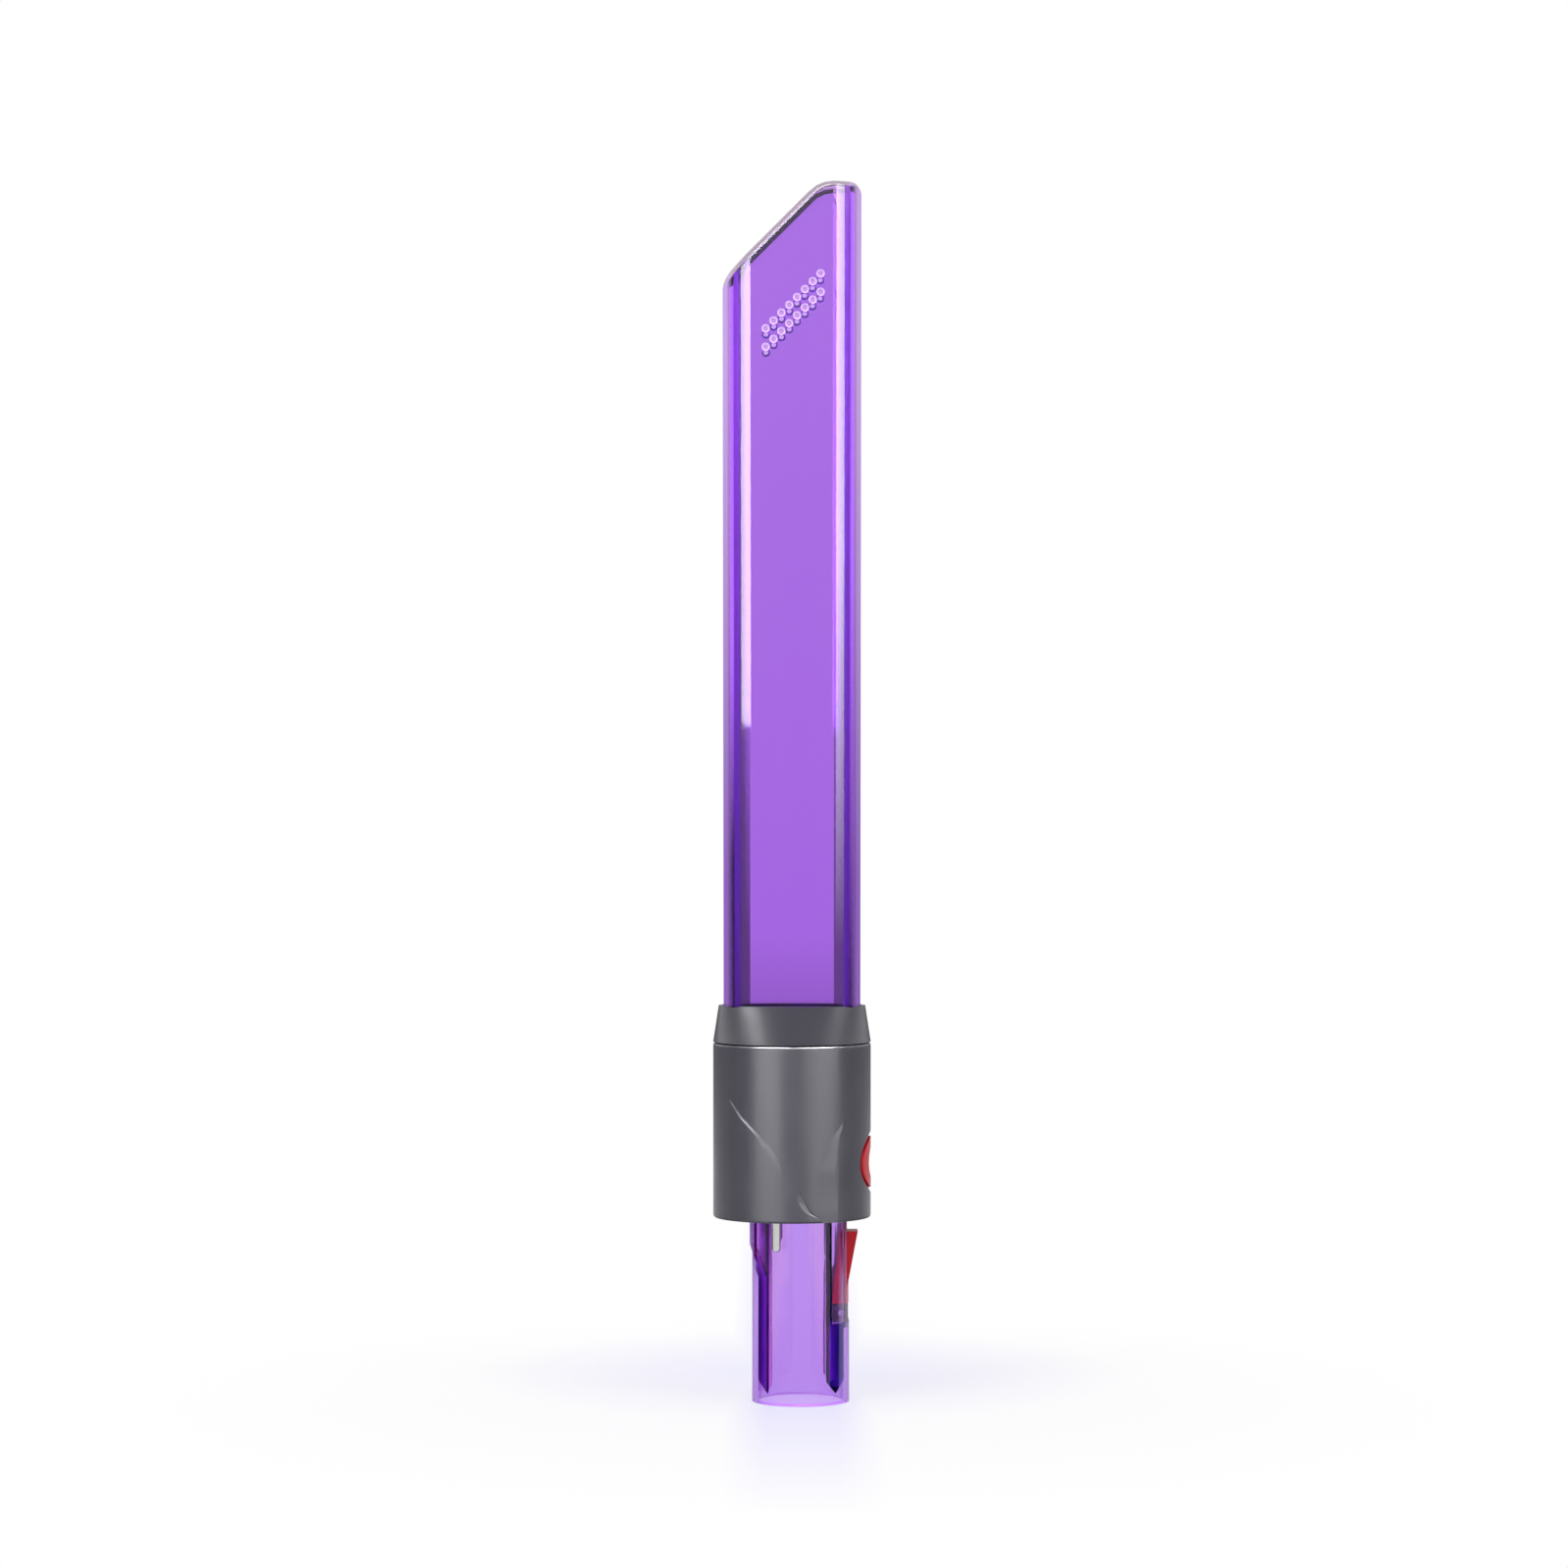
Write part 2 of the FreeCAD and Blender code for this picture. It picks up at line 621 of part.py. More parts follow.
def release_latch():
    slope = math.tan(math.radians(latch_turn))

    def back(z):
        return web_back_x + slip_gap + (z - pivot_z) * slope

    eye = Part.makeCylinder(latch_eye_r, 2 * latch_eye_half, V(pivot_x, -latch_eye_half, pivot_z), Y)
    stem = box(pivot_x - latch_eye_r, pivot_x + latch_eye_r, -latch_eye_half, latch_eye_half,
               pivot_z, arm_z + 0.5)
    front_x = tube_r - arm_skin
    arm = side_prism([(back(arm_z), arm_z), (front_x, arm_z), (front_x, hook_z),
                      (arm_upper_x, hook_z), (arm_upper_x, block_z + 1), (back(block_z + 1),
                                                                         block_z + 1)], arm_half)
    arm = arm.common(cylinder(front_x, arm_z - 1, block_z + 2))
    hook = side_prism([(front_x - 1.5, hook_root_z), (front_x - 0.3, hook_root_z),
                       (hook_x, hook_z), (front_x - 1.5, hook_z)], arm_half - 0.3)

    plug = oval_prism(flange_back_x + 0.5 * flange_thick, collar_x + sleeve_r + 1,
                      button_half_y, button_half_z)
    plug = plug.common(cylinder(sleeve_r, flange_low_z - 9, flange_top_z + 9, collar_x))
    dish_x = collar_x + sleeve_r - dish_depth + dish_r
    dish = Part.makeCylinder(dish_r, 4 * button_half_y, V(dish_x, -2 * button_half_y, button_z), Y)
    plug = plug.cut(dish)
    rim = cylinder(flange_r, flange_low_z, flange_top_z, collar_x)
    rim = rim.cut(cylinder(flange_r - flange_thick, flange_low_z - 1, flange_top_z + 1, collar_x))
    rim = rim.common(box(0, tube_r + 9, -flange_half, flange_half, flange_low_z, flange_top_z))
    skirt_low, skirt_top = flange_back_x - 0.2, flange_back_x + 0.8 * flange_thick
    hub = side_prism([(back(block_z), block_z), (skirt_low - 1.2, block_z),
                      (skirt_top, flange_low_z + 1.0), (skirt_top, flange_top_z - 1.5),
                      (back(flange_top_z - 1.5), flange_top_z - 1.5)], block_half)
    hub = hub.common(cylinder(flange_r - 0.3 * flange_thick, block_z - 1, flange_top_z + 1, collar_x))
    channel = Part.makeCylinder(spring_r + channel_gap + spring_wire / 2,
                                flange_back_x - web_back_x + 2,
                                V(web_back_x - 2, 0, button_z), X)
    peg = Part.makeCylinder(peg_r, peg_length + 0.5,
                            V(flange_back_x + 0.5, 0, button_z), -X)
    body = eye.fuse([stem, arm, hook, hub, rim]).cut(channel).fuse([plug, peg])
    bore = Part.makeCylinder(pin_r + run_gap, 4 * latch_eye_half,
                             V(pivot_x, -2 * latch_eye_half, pivot_z), Y)
    return body.cut(bore).removeSplitter()


def latch_pivot_block():
    z0 = pocket_floor_z + seat_gap
    half = latch_eye_half + cheek_gap + cheek_thick
    half_in = latch_eye_half + cheek_gap
    body = box(web_back_x + 2 * seat_gap, tube_r, -half, half, z0, z0 + block_height)
    body = body.common(cylinder(tube_r - arm_skin, z0 - 1, z0 + block_height + 1))
    gap = box(0, tube_r + 1, -half_in, half_in, z0 + block_base, z0 + block_height + 1)
    bore = Part.makeCylinder(pin_r, 4 * half, V(pivot_x, -2 * half, pivot_z), Y)
    return body.cut([gap, bore])


def latch_pin():
    half = latch_eye_half + cheek_gap + cheek_thick - 0.2
    return Part.makeCylinder(pin_r, 2 * half, V(pivot_x, -half, pivot_z), Y)


def latch_spring():
    """Coil of smooth half turns, each a flat arc tilted by half the pitch."""
    x0 = web_back_x + 2 * seat_gap + spring_wire / 2
    x1 = flange_back_x - 2 * seat_gap - spring_wire / 2
    step = (x1 - x0) / (2 * spring_turns)
    swing = math.hypot(step / 2, spring_r)
    arcs = []
    for i in range(2 * spring_turns):
        side = 1 if i % 2 == 0 else -1
        x = x0 + i * step
        arcs.append(Part.Arc(V(x, 0, button_z + side * spring_r),
                             V(x + step / 2, side * swing, button_z),
                             V(x + step, 0, button_z - side * spring_r)).toShape())
    corners = []
    for i in range(wire_sides + 1):
        a = 2 * math.pi * (i + 0.5) / wire_sides
        corners.append(V(x0 + spring_wire / 2 * math.cos(a), 0,
                         button_z + spring_r + spring_wire / 2 * math.sin(a)))
    return Part.Wire(arcs).makePipeShell([Part.makePolygon(corners)], True, False)


def duct_seal():
    z0 = tube_length + seat_gap
    outer = cylinder(tube_r, z0, z0 + seal_height)
    return outer.cut(cylinder(seal_step_r, z0 - 1, z0 + seal_height + 1))


save(nozzle_pipe(), "nozzle_pipe")
save(coupling_tube(), "coupling_tube")
save(collar_sleeve(), "collar_sleeve")
save(collar_shoulder(), "collar_shoulder")
save(collar_base_plate(), "collar_base_plate")
save(contact_carrier(), "contact_carrier")
save(contact_pin(-1), "contact_pin_front")
save(contact_pin(1), "contact_pin_rear")
save(lead(-1), "lead_front")
save(lead(1), "lead_rear")
save(led_board(), "led_board")
for i in range(led_count):
    save(led(i), "led_%d" % (i + 1))
for i, angle in enumerate(resistor_angles):
    save(on_board(resistor_size, resistor_ring_r, angle), "resistor_%d" % (i + 1))
save(driver_chip(), "driver_chip")
save(board_screws(), "board_screws")
save(release_latch(), "release_latch")
save(latch_pivot_block(), "latch_pivot_block")
save(latch_pin(), "latch_pin")
save(latch_spring(), "latch_spring")
save(duct_seal(), "duct_seal")
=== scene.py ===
import json
import math

import bmesh
import bpy
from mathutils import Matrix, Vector


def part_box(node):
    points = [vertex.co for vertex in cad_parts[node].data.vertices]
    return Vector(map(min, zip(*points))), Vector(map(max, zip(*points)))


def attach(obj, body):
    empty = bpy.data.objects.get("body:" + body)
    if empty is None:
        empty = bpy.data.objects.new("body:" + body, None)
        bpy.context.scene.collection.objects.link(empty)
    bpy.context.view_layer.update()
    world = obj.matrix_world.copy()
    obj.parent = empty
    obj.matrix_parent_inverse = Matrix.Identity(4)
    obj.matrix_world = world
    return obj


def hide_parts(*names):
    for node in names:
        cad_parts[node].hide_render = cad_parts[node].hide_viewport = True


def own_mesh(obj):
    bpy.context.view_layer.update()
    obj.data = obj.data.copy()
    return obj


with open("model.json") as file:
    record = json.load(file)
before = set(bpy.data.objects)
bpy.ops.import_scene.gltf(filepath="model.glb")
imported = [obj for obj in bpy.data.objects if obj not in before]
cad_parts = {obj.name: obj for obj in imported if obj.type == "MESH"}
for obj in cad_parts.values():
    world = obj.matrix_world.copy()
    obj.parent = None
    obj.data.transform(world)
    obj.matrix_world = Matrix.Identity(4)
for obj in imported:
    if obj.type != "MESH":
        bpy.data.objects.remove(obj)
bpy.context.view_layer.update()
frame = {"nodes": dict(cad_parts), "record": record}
nodes = frame["nodes"]

MM = 0.001

# Sizes in millimetres and counts of the clear parts
COLLAR_AXIS_X = -2.5
BLADE_HALF_WIDTH_FOOT = 19.7
BLADE_HALF_WIDTH_TIP = 20.03
BLADE_HALF_THICK = 10.0
BLADE_CORNER = 8.3
BLADE_WALL = 3.0
BLADE_FOOT_Z = 110.0
MOUTH_X = 7.83
MOUTH_SLANT = math.radians(45)
MOUTH_ROUND = 9.6
TIP_ROUND = 3.0
# Share of the rim's lean that is gone at the tip, and the reach over which its slope is read
TIP_EASE = 0.8
LEAN_STEP = 0.01
LIP_ROUND = 2.0
LIP_STEPS = 6
LIP_INNER_ROUND = 0.5
LIP_INNER_STEPS = 3
SOCKET_R = 16.1
SOCKET_BORE_R = 14.3
NECK_Z = 97.0
SEAT_Z = 97.3
THROAT_R = 12.4
BLEED_HOLES = 8
BLEED_ROWS = 2
BLEED_STEP = 2.25
BLEED_START = (8.2, 324.2)
BLEED_ROW_DROP = 5.27
BLEED_R = 0.75
BLEED_SINK_R = 1.2
BLEED_SINK = 0.5
BLEED_OVER = 1.0
DRILL_STEPS = 20
BLADE_LEVELS = 3
BLADE_LEVEL_STEP = 50.0
DUCT_R = 12.2
WEB_REACH = 13.0
PAD_HALF = 6.0
PAD_START_X = -12.0
PAD_FACE_X = -14.3
TUBE_END_Z = 0.7
# Outline of the left wall's upper run, as places across and heights, and its gap to the duct
SIDE_WALL = [(-8.7, 36.5), (-11.9, 45.5), (-11.9, 74.0), (-8.7, 74.0)]
SIDE_WALL_GAP = 0.1
# Where the webs' middle tone, a painted light, ends and their outside tone, a painted shade, is full, away
# from the middle plane
WEB_PAINTED_LIGHT_Y = 4.0
WEB_PAINTED_SHADE_Y = 7.5
# Heights between which the painted light on the clear edges brightens, darker below as painted shade
EDGE_LIGHT_LOW_Z = 150.0
EDGE_LIGHT_HIGH_Z = 300.0
# Least part of a face's normal along an axis for a broad wall, a web, a pad side, a lip and an end
BROAD_SHARE = 0.95
WEB_SHARE = 0.9
PAD_SIDE_SHARE = 0.98
LIP_SHARE = 0.2
END_SHARE = 0.5
# Most of it across that axis for an upright wall, and how near a pad side lies to its plane
UPRIGHT_SHARE = 0.02
PAD_NEAR = 0.1

pipe_low, pipe_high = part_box("nozzle_pipe")
SOCKET_Z = pipe_low.z / MM
BLADE_TOP_Z = pipe_high.z / MM


# Materials

def new_material(name):
    mat = bpy.data.materials.new(name)
    mat.use_nodes = True
    tree = mat.node_tree
    return mat, tree, tree.nodes["Principled BSDF"], tree.nodes["Material Output"]


def object_noise(tree, scale, detail=3.0, stretch=(1, 1, 1)):
    """Noise on object coordinates, stretched along an axis for drawn or moulded grain."""
    where = tree.nodes.new("ShaderNodeTexCoord")
    place = tree.nodes.new("ShaderNodeMapping")
    place.inputs["Scale"].default_value = stretch
    noise = tree.nodes.new("ShaderNodeTexNoise")
    noise.inputs["Scale"].default_value = scale
    noise.inputs["Detail"].default_value = detail
    tree.links.new(where.outputs["Object"], place.inputs["Vector"])
    tree.links.new(place.outputs["Vector"], noise.inputs["Vector"])
    return noise.outputs["Fac"]


def along(tree, axis):
    """Place along X, Y or Z, on object coordinates in metres."""
    where = tree.nodes.new("ShaderNodeTexCoord")
    split = tree.nodes.new("ShaderNodeSeparateXYZ")
    tree.links.new(where.outputs["Object"], split.inputs["Vector"])
    return split.outputs[axis]


def off_middle(tree, axis):
    """Distance from the middle plane that stands across an axis."""
    away = tree.nodes.new("ShaderNodeMath")
    away.operation = "ABSOLUTE"
    tree.links.new(along(tree, axis), away.inputs[0])
    return away.outputs["Value"]


def mapped(tree, value, low, high, out_low, out_high):
    node = tree.nodes.new("ShaderNodeMapRange")
    for key, number in (("From Min", low), ("From Max", high), ("To Min", out_low), ("To Max", out_high)):
        node.inputs[key].default_value = number
    tree.links.new(value, node.inputs["Value"])
    return node.outputs["Result"]


def combined(tree, first, second, operation="MULTIPLY"):
    """Two values multiplied, or combined in another way, and kept between 0 and 1."""
    node = tree.nodes.new("ShaderNodeMath")
    node.operation = operation
    node.use_clamp = True
    tree.links.new(first, node.inputs[0])
    tree.links.new(second, node.inputs[1])
    return node.outputs["Value"]


def two_tone(tree, value, first, second):
    node = tree.nodes.new("ShaderNodeMix")
    node.data_type = "RGBA"
    node.inputs["A"].default_value = (*first, 1)
    node.inputs["B"].default_value = (*second, 1)
    tree.links.new(value, node.inputs["Factor"])
    return node.outputs["Result"]


def grain(tree, shader, value, depth, strength):
    bump = tree.nodes.new("ShaderNodeBump")
    bump.inputs["Distance"].default_value = depth
    bump.inputs["Strength"].default_value = strength
    tree.links.new(value, bump.inputs["Height"])
    tree.links.new(bump.outputs["Normal"], shader.inputs["Normal"])


def clear_plastic(name, edge_light_from, edge_light_full, edge_light_share, shaded_low_tone, lit_high_tone):
    """Polished clear moulding, tinted through its thickness, with painted light where it turns away.

    The painted light is a matt tone mixed in. It starts at edge_light_from and is full at
    edge_light_full, as a share of how far the wall turns away, and goes from shaded_low_tone,
    a painted shade, to lit_high_tone up the blade.
    """
    mat, tree, shader, output = new_material(name)
    shader.inputs["Transmission Weight"].default_value = 1.0
    shader.inputs["IOR"].default_value = 1.5
    flow = object_noise(tree, 40, 2, (1, 1, 0.15))
    tree.links.new(two_tone(tree, flow, (0.97, 0.95, 1.0), (1, 1, 1)), shader.inputs["Base Color"])
    tree.links.new(mapped(tree, flow, 0.35, 0.7, *CLEAR_ROUGH), shader.inputs["Roughness"])
    painted_edge_light = tree.nodes.new("ShaderNodeBsdfDiffuse")
    # Painted shade low on the blade and painted light higher up, by height
    edge_light_rise = mapped(tree, along(tree, "Z"), EDGE_LIGHT_LOW_Z * MM, EDGE_LIGHT_HIGH_Z * MM, 0, 1)
    tree.links.new(two_tone(tree, edge_light_rise, shaded_low_tone, lit_high_tone), painted_edge_light.inputs["Color"])
    # Painted light where the wall turns away from the eye, as a matt tone mixed into the clear surface
    facing = tree.nodes.new("ShaderNodeLayerWeight").outputs["Facing"]
    turned = mapped(tree, facing, edge_light_from, edge_light_full, 0, edge_light_share)
    inside = tree.nodes.new("ShaderNodeNewGeometry").outputs["Backfacing"]
    mixed = tree.nodes.new("ShaderNodeMixShader")
    tree.links.new(combined(tree, turned, mapped(tree, inside, 0, 1, 1, 0)), mixed.inputs["Fac"])
    tree.links.new(shader.outputs["BSDF"], mixed.inputs[1])
    tree.links.new(painted_edge_light.outputs["BSDF"], mixed.inputs[2])
    tree.links.new(mixed.outputs["Shader"], output.inputs["Surface"])
    tint = tree.nodes.new("ShaderNodeVolumeAbsorption")
    tint.inputs["Color"].default_value = PURPLE_ABSORB
    tint.inputs["Density"].default_value = PURPLE_DENSITY
    tree.links.new(tint.outputs["Volume"], output.inputs["Volume"])
    return mat


def moulded_plastic(name, dark, light, rough, texture=0.00003, coat=0.0, specular=0.5):
    """Opaque moulding with a fine spark-eroded texture."""
    mat, tree, shader, _ = new_material(name)
    broad = object_noise(tree, 90, 3)
    fine = object_noise(tree, 2600, 2)
    tree.links.new(two_tone(tree, broad, dark, light), shader.inputs["Base Color"])
    tree.links.new(mapped(tree, broad, 0.3, 0.7, rough - 0.03, rough + 0.03), shader.inputs["Roughness"])
    shader.inputs["Coat Weight"].default_value = coat
    shader.inputs["Specular IOR Level"].default_value = specular
    grain(tree, shader, fine, texture, 0.5)
    return mat


def duct_painted_light_shade(name, middle, outside):
    """Matt paint for the walls in the duct, standing in for light and shade seen through the tube: one tone
    half way through the tube and one outside.
    """
    mat, tree, shader, _ = new_material(name)
    shader.inputs["Specular IOR Level"].default_value = 0.0
    share = mapped(tree, off_middle(tree, "Y"), WEB_PAINTED_LIGHT_Y * MM, WEB_PAINTED_SHADE_Y * MM, 0, 1)
    tree.links.new(two_tone(tree, share, middle, outside), shader.inputs["Base Color"])
    tree.links.new(mapped(tree, object_noise(tree, 90, 3), 0.3, 0.7, 0.35, 0.45), shader.inputs["Roughness"])
    return mat


def bare_metal(name, dark, light, rough, stretch):
    mat, tree, shader, _ = new_material(name)
    drawn = object_noise(tree, 700, 3, stretch)
    tree.links.new(two_tone(tree, drawn, dark, light), shader.inputs["Base Color"])
    tree.links.new(mapped(tree, drawn, 0.3, 0.7, rough - 0.04, rough + 0.06), shader.inputs["Roughness"])
    shader.inputs["Metallic"].default_value = 1.0
    return mat


CLEAR_ROUGH = (0.015, 0.05)
PURPLE_ABSORB = (0.535, 0.0, 0.871, 1)
PURPLE_DENSITY = 330.0
# Clear purple with painted light on its turned-away walls, dimmer low on the blade as painted shade
clear_purple = clear_plastic("clear_purple_plastic", 0.25, 0.5, 0.9, (0.32, 0.15, 0.56), (0.66, 0.42, 0.85))
# The tube's turned-away walls get painted light in one tone
clear_purple_tube = clear_plastic("clear_purple_tube", 0.55, 0.75, 0.75, (0.46, 0.3, 0.68), (0.46, 0.3, 0.68))
# The mouth's lip gets a pale matt tone all over, a painted highlight
lip_painted_highlight = clear_plastic("lip_painted_highlight_look", -1.0, -0.5, 0.4, (1.0, 0.8, 1.0), (1.0, 0.8, 1.0))
# Pale matt paint on the drilled walls and the tube's end: the frosted look of cut plastic, lightened further
# as painted light
pale_cut_and_painted_light = moulded_plastic("pale_cut_and_painted_light_look", (0.84, 0.58, 1.0), (0.9, 0.66, 1.0), 0.4)
# The webs: lighter in the middle as painted light, dark outside as painted shade
web_painted_light_shade = duct_painted_light_shade("web_painted_light_shade_look", (1.0, 0.4, 0.9), (0.03, 0.01, 0.1))
# The pad's walls: dark all over, painted shade
pad_painted_shade = duct_painted_light_shade("pad_painted_shade_look", (0.13, 0.01, 0.13), (0.1, 0.01, 0.1))
# The side wall: lighter in the middle as painted light, dark outside as painted shade
side_wall_painted_light_shade = duct_painted_light_shade("side_wall_painted_light_shade_look", (0.8, 0.2, 0.9), (0.03, 0.008, 0.06))
grey_satin = moulded_plastic("grey_satin_plastic", (0.031, 0.029, 0.043), (0.037, 0.035, 0.05), 0.32)
red_satin = moulded_plastic("red_latch_plastic", (0.46, 0.001, 0.01), (0.55, 0.002, 0.014), 0.35,
                            specular=0.25)
pivot_dark = moulded_plastic("dark_pivot_plastic", (0.03, 0.03, 0.035), (0.045, 0.045, 0.05), 0.45)
black_matt = moulded_plastic("black_matt_plastic", (0.012, 0.012, 0.013), (0.02, 0.02, 0.022), 0.55)
board_green = moulded_plastic("board_lacquer", (0.012, 0.09, 0.035), (0.02, 0.13, 0.05), 0.3, 0.00001, 0.4)
led_resin = moulded_plastic("led_resin", (0.8, 0.72, 0.3), (0.9, 0.85, 0.5), 0.35)
resistor_black = moulded_plastic("resistor_body", (0.02, 0.02, 0.025), (0.05, 0.05, 0.055), 0.4)
lead_red = moulded_plastic("lead_insulation", (0.4, 0.01, 0.01), (0.5, 0.02, 0.02), 0.4)
seal_black = moulded_plastic("seal_rubber", (0.015, 0.015, 0.015), (0.03, 0.03, 0.03), 0.7, 0.00005)
plated = bare_metal("plated_contact", (0.58, 0.575, 0.565), (0.7, 0.69, 0.68), 0.16, (1, 1, 0.1))
steel = bare_metal("drawn_steel", (0.5, 0.5, 0.5), (0.66, 0.66, 0.66), 0.3, (1, 0.2, 1))

MATERIAL_OF_SLOT = {
    "clear_purple_plastic": clear_purple, "grey_plastic": grey_satin, "red_plastic": red_satin,
    "pivot_plastic": pivot_dark, "black_plastic": black_matt, "plated_contact": plated,
    "steel": steel, "circuit_board": board_green, "led_resin": led_resin,
    "resistor_ceramic": resistor_black, "lead_insulation": lead_red, "seal_rubber": seal_black,
}
slot_of = {part["node"]: part["material_slot"] for part in frame["record"]["subparts"]}
for name, node in nodes.items():
    node.data.materials.clear()
    node.data.materials.append(MATERIAL_OF_SLOT[slot_of[name]])


# Pieces

def link_mesh(name, points, faces, material):
    mesh = bpy.data.meshes.new(name)
    mesh.from_pydata([Vector(p) * MM for p in points], [], faces)
    mesh.materials.append(material)
    mesh.validate()
    obj = bpy.data.objects.new(name, mesh)
    bpy.context.scene.collection.objects.link(obj)
    return obj


def shaded(obj, degrees=30):
    """Smooth shading with sharp edges, and flat walls that stay flat beside their roundings."""
    obj.data.shade_smooth()
    obj.data.set_sharp_from_angle(angle=math.radians(degrees))
    weigh = obj.modifiers.new("weigh_normals", "WEIGHTED_NORMAL")
    weigh.mode = "FACE_AREA"
    weigh.weight = 100
    weigh.thresh = 0.000001
    weigh.keep_sharp = True
    return obj


def frozen(obj, name):
    """A plain object made from another's finished shape, which it replaces."""
    bpy.context.view_layer.update()
    graph = bpy.context.evaluated_depsgraph_get()
    mesh = bpy.data.meshes.new_from_object(obj.evaluated_get(graph))
    mesh.name = name
    done = bpy.data.objects.new(name, mesh)
    bpy.context.scene.collection.objects.link(done)
    bpy.data.objects.remove(obj)
    return done


def finished(obj, name, body, *stands_for):
    """Freezes an object's modifiers into a plain mesh that rides on a body in place of CAD nodes."""
    done = frozen(obj, name)
    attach(done, body)
    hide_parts(*stands_for)
    return done


CORNER_STEPS, BROAD_STEPS, NARROW_STEPS = 14, 10, 2
# Angle round the socket at which each of the blade's eight stretches starts, as in the solid
STRETCHES = [(-12, 12, NARROW_STEPS), (12, 52, CORNER_STEPS), (52, 128, BROAD_STEPS),
             (128, 168, CORNER_STEPS), (168, 192, NARROW_STEPS), (192, 232, CORNER_STEPS),
             (232, 308, BROAD_STEPS), (308, 348, CORNER_STEPS)]


def round_section(radius):
    points = []
    for start, end, steps in STRETCHES:
        for i in range(steps):
            a = math.radians(start + (end - start) * i / steps)
            points.append((radius * math.cos(a), radius * math.sin(a)))
    return points


def blade_section(half_width, inset):
    """Rounded rectangle with the same count of points as the round section."""
    hx, hy, r = half_width - inset, BLADE_HALF_THICK - inset, BLADE_CORNER - inset
    cx, cy = hx - r, hy - r
    corners = [(cx, cy, 0), (-cx, cy, 90), (-cx, -cy, 180), (cx, -cy, 270)]
    flats = [((hx, -cy), (hx, cy)), ((cx, hy), (-cx, hy)), ((-hx, cy), (-hx, -cy)), ((-cx, -hy), (cx, -hy))]
    points = []
    for k, (_, _, steps) in enumerate(STRETCHES):
        for i in range(steps):
            t = i / steps
            if k % 2 == 0:
                (x0, y0), (x1, y1) = flats[k // 2]
                points.append((x0 + t * (x1 - x0), y0 + t * (y1 - y0)))
            else:
                x, y, first = corners[k // 2]
                a = math.radians(first + 90 * t)
                points.append((x + r * math.cos(a), y + r * math.sin(a)))
    return [(x + COLLAR_AXIS_X, y) for x, y in points]


def half_width(z):
    share = (z - BLADE_FOOT_Z) / (BLADE_TOP_Z - BLADE_FOOT_Z)
    return BLADE_HALF_WIDTH_FOOT + share * (BLADE_HALF_WIDTH_TIP - BLADE_HALF_WIDTH_FOOT)


def mouth_height(x):
    """Height of the slanted mouth above a point across the blade."""
    x = x - COLLAR_AXIS_X
    bend = MOUTH_ROUND * math.tan(MOUTH_SLANT / 2)
    round_start, round_end = MOUTH_X - bend * math.cos(MOUTH_SLANT), MOUTH_X + bend
    tip_x = BLADE_HALF_WIDTH_TIP - TIP_ROUND
    if x < round_start:
        return BLADE_TOP_Z - (MOUTH_X - x)
    if x < round_end:
        return BLADE_TOP_Z - MOUTH_ROUND + math.sqrt(MOUTH_ROUND ** 2 - (x - round_end) ** 2)
    if x > tip_x:
        return BLADE_TOP_Z - TIP_ROUND + math.sqrt(max(0.0, TIP_ROUND ** 2 - (x - tip_x) ** 2))
    return BLADE_TOP_Z


def mouth_lean(x):
    """How much further down a rounding of the rim reaches at x than on a level rim."""
    slope = (mouth_height(x + LEAN_STEP) - mouth_height(x - LEAN_STEP)) / (2 * LEAN_STEP)
    past_tip = (x - COLLAR_AXIS_X - BLADE_HALF_WIDTH_TIP + TIP_ROUND) / TIP_ROUND
    return math.hypot(1, min(abs(slope), 1)) * (1 - TIP_EASE * min(max(past_tip, 0), 1))


def mouth_ring(inset, drop):
    """Ring of points at the mouth, set in from the outside by inset and lowered by drop."""
    ring = [mouth_height(x) for x, _ in blade_section(BLADE_HALF_WIDTH_TIP, inset)]
    points = []
    for i, z in enumerate(ring):
        x, y = blade_section(half_width(z), inset)[i]
        points.append((x, y, mouth_height(x) - drop * mouth_lean(x)))
    return points


def level_ring(section, z):
    return [(x, y, z) for x, y in section]


def tube_of_rings(rings):
    """Closed skin through a loop of rings, each joined to the next and the last to the first."""
    count = len(rings[0])
    points = [p for ring in rings for p in ring]
    faces = []
    for k in range(len(rings)):
        a, b = k * count, ((k + 1) % len(rings)) * count
        for i in range(count):
            j = (i + 1) % count
            faces.append((a + i, a + j, b + j, b + i))
    return points, faces


def quarter_round(radius, steps, from_wall):
    """Insets and drops round a quarter circle, from the wall up to the rim or back down."""
    turns = [math.radians(90 * k / steps) for k in range(steps + 1)]
    if not from_wall:
        turns = turns[::-1]
    return [(radius * (1 - math.cos(a)), radius * (1 - math.sin(a))) for a in turns]


def lip_rings():
    rings = [mouth_ring(inset, drop) for inset, drop in quarter_round(LIP_ROUND, LIP_STEPS, True)]
    rings += [mouth_ring(BLADE_WALL - inset, drop)
              for inset, drop in quarter_round(LIP_INNER_ROUND, LIP_INNER_STEPS, False)]
    return rings


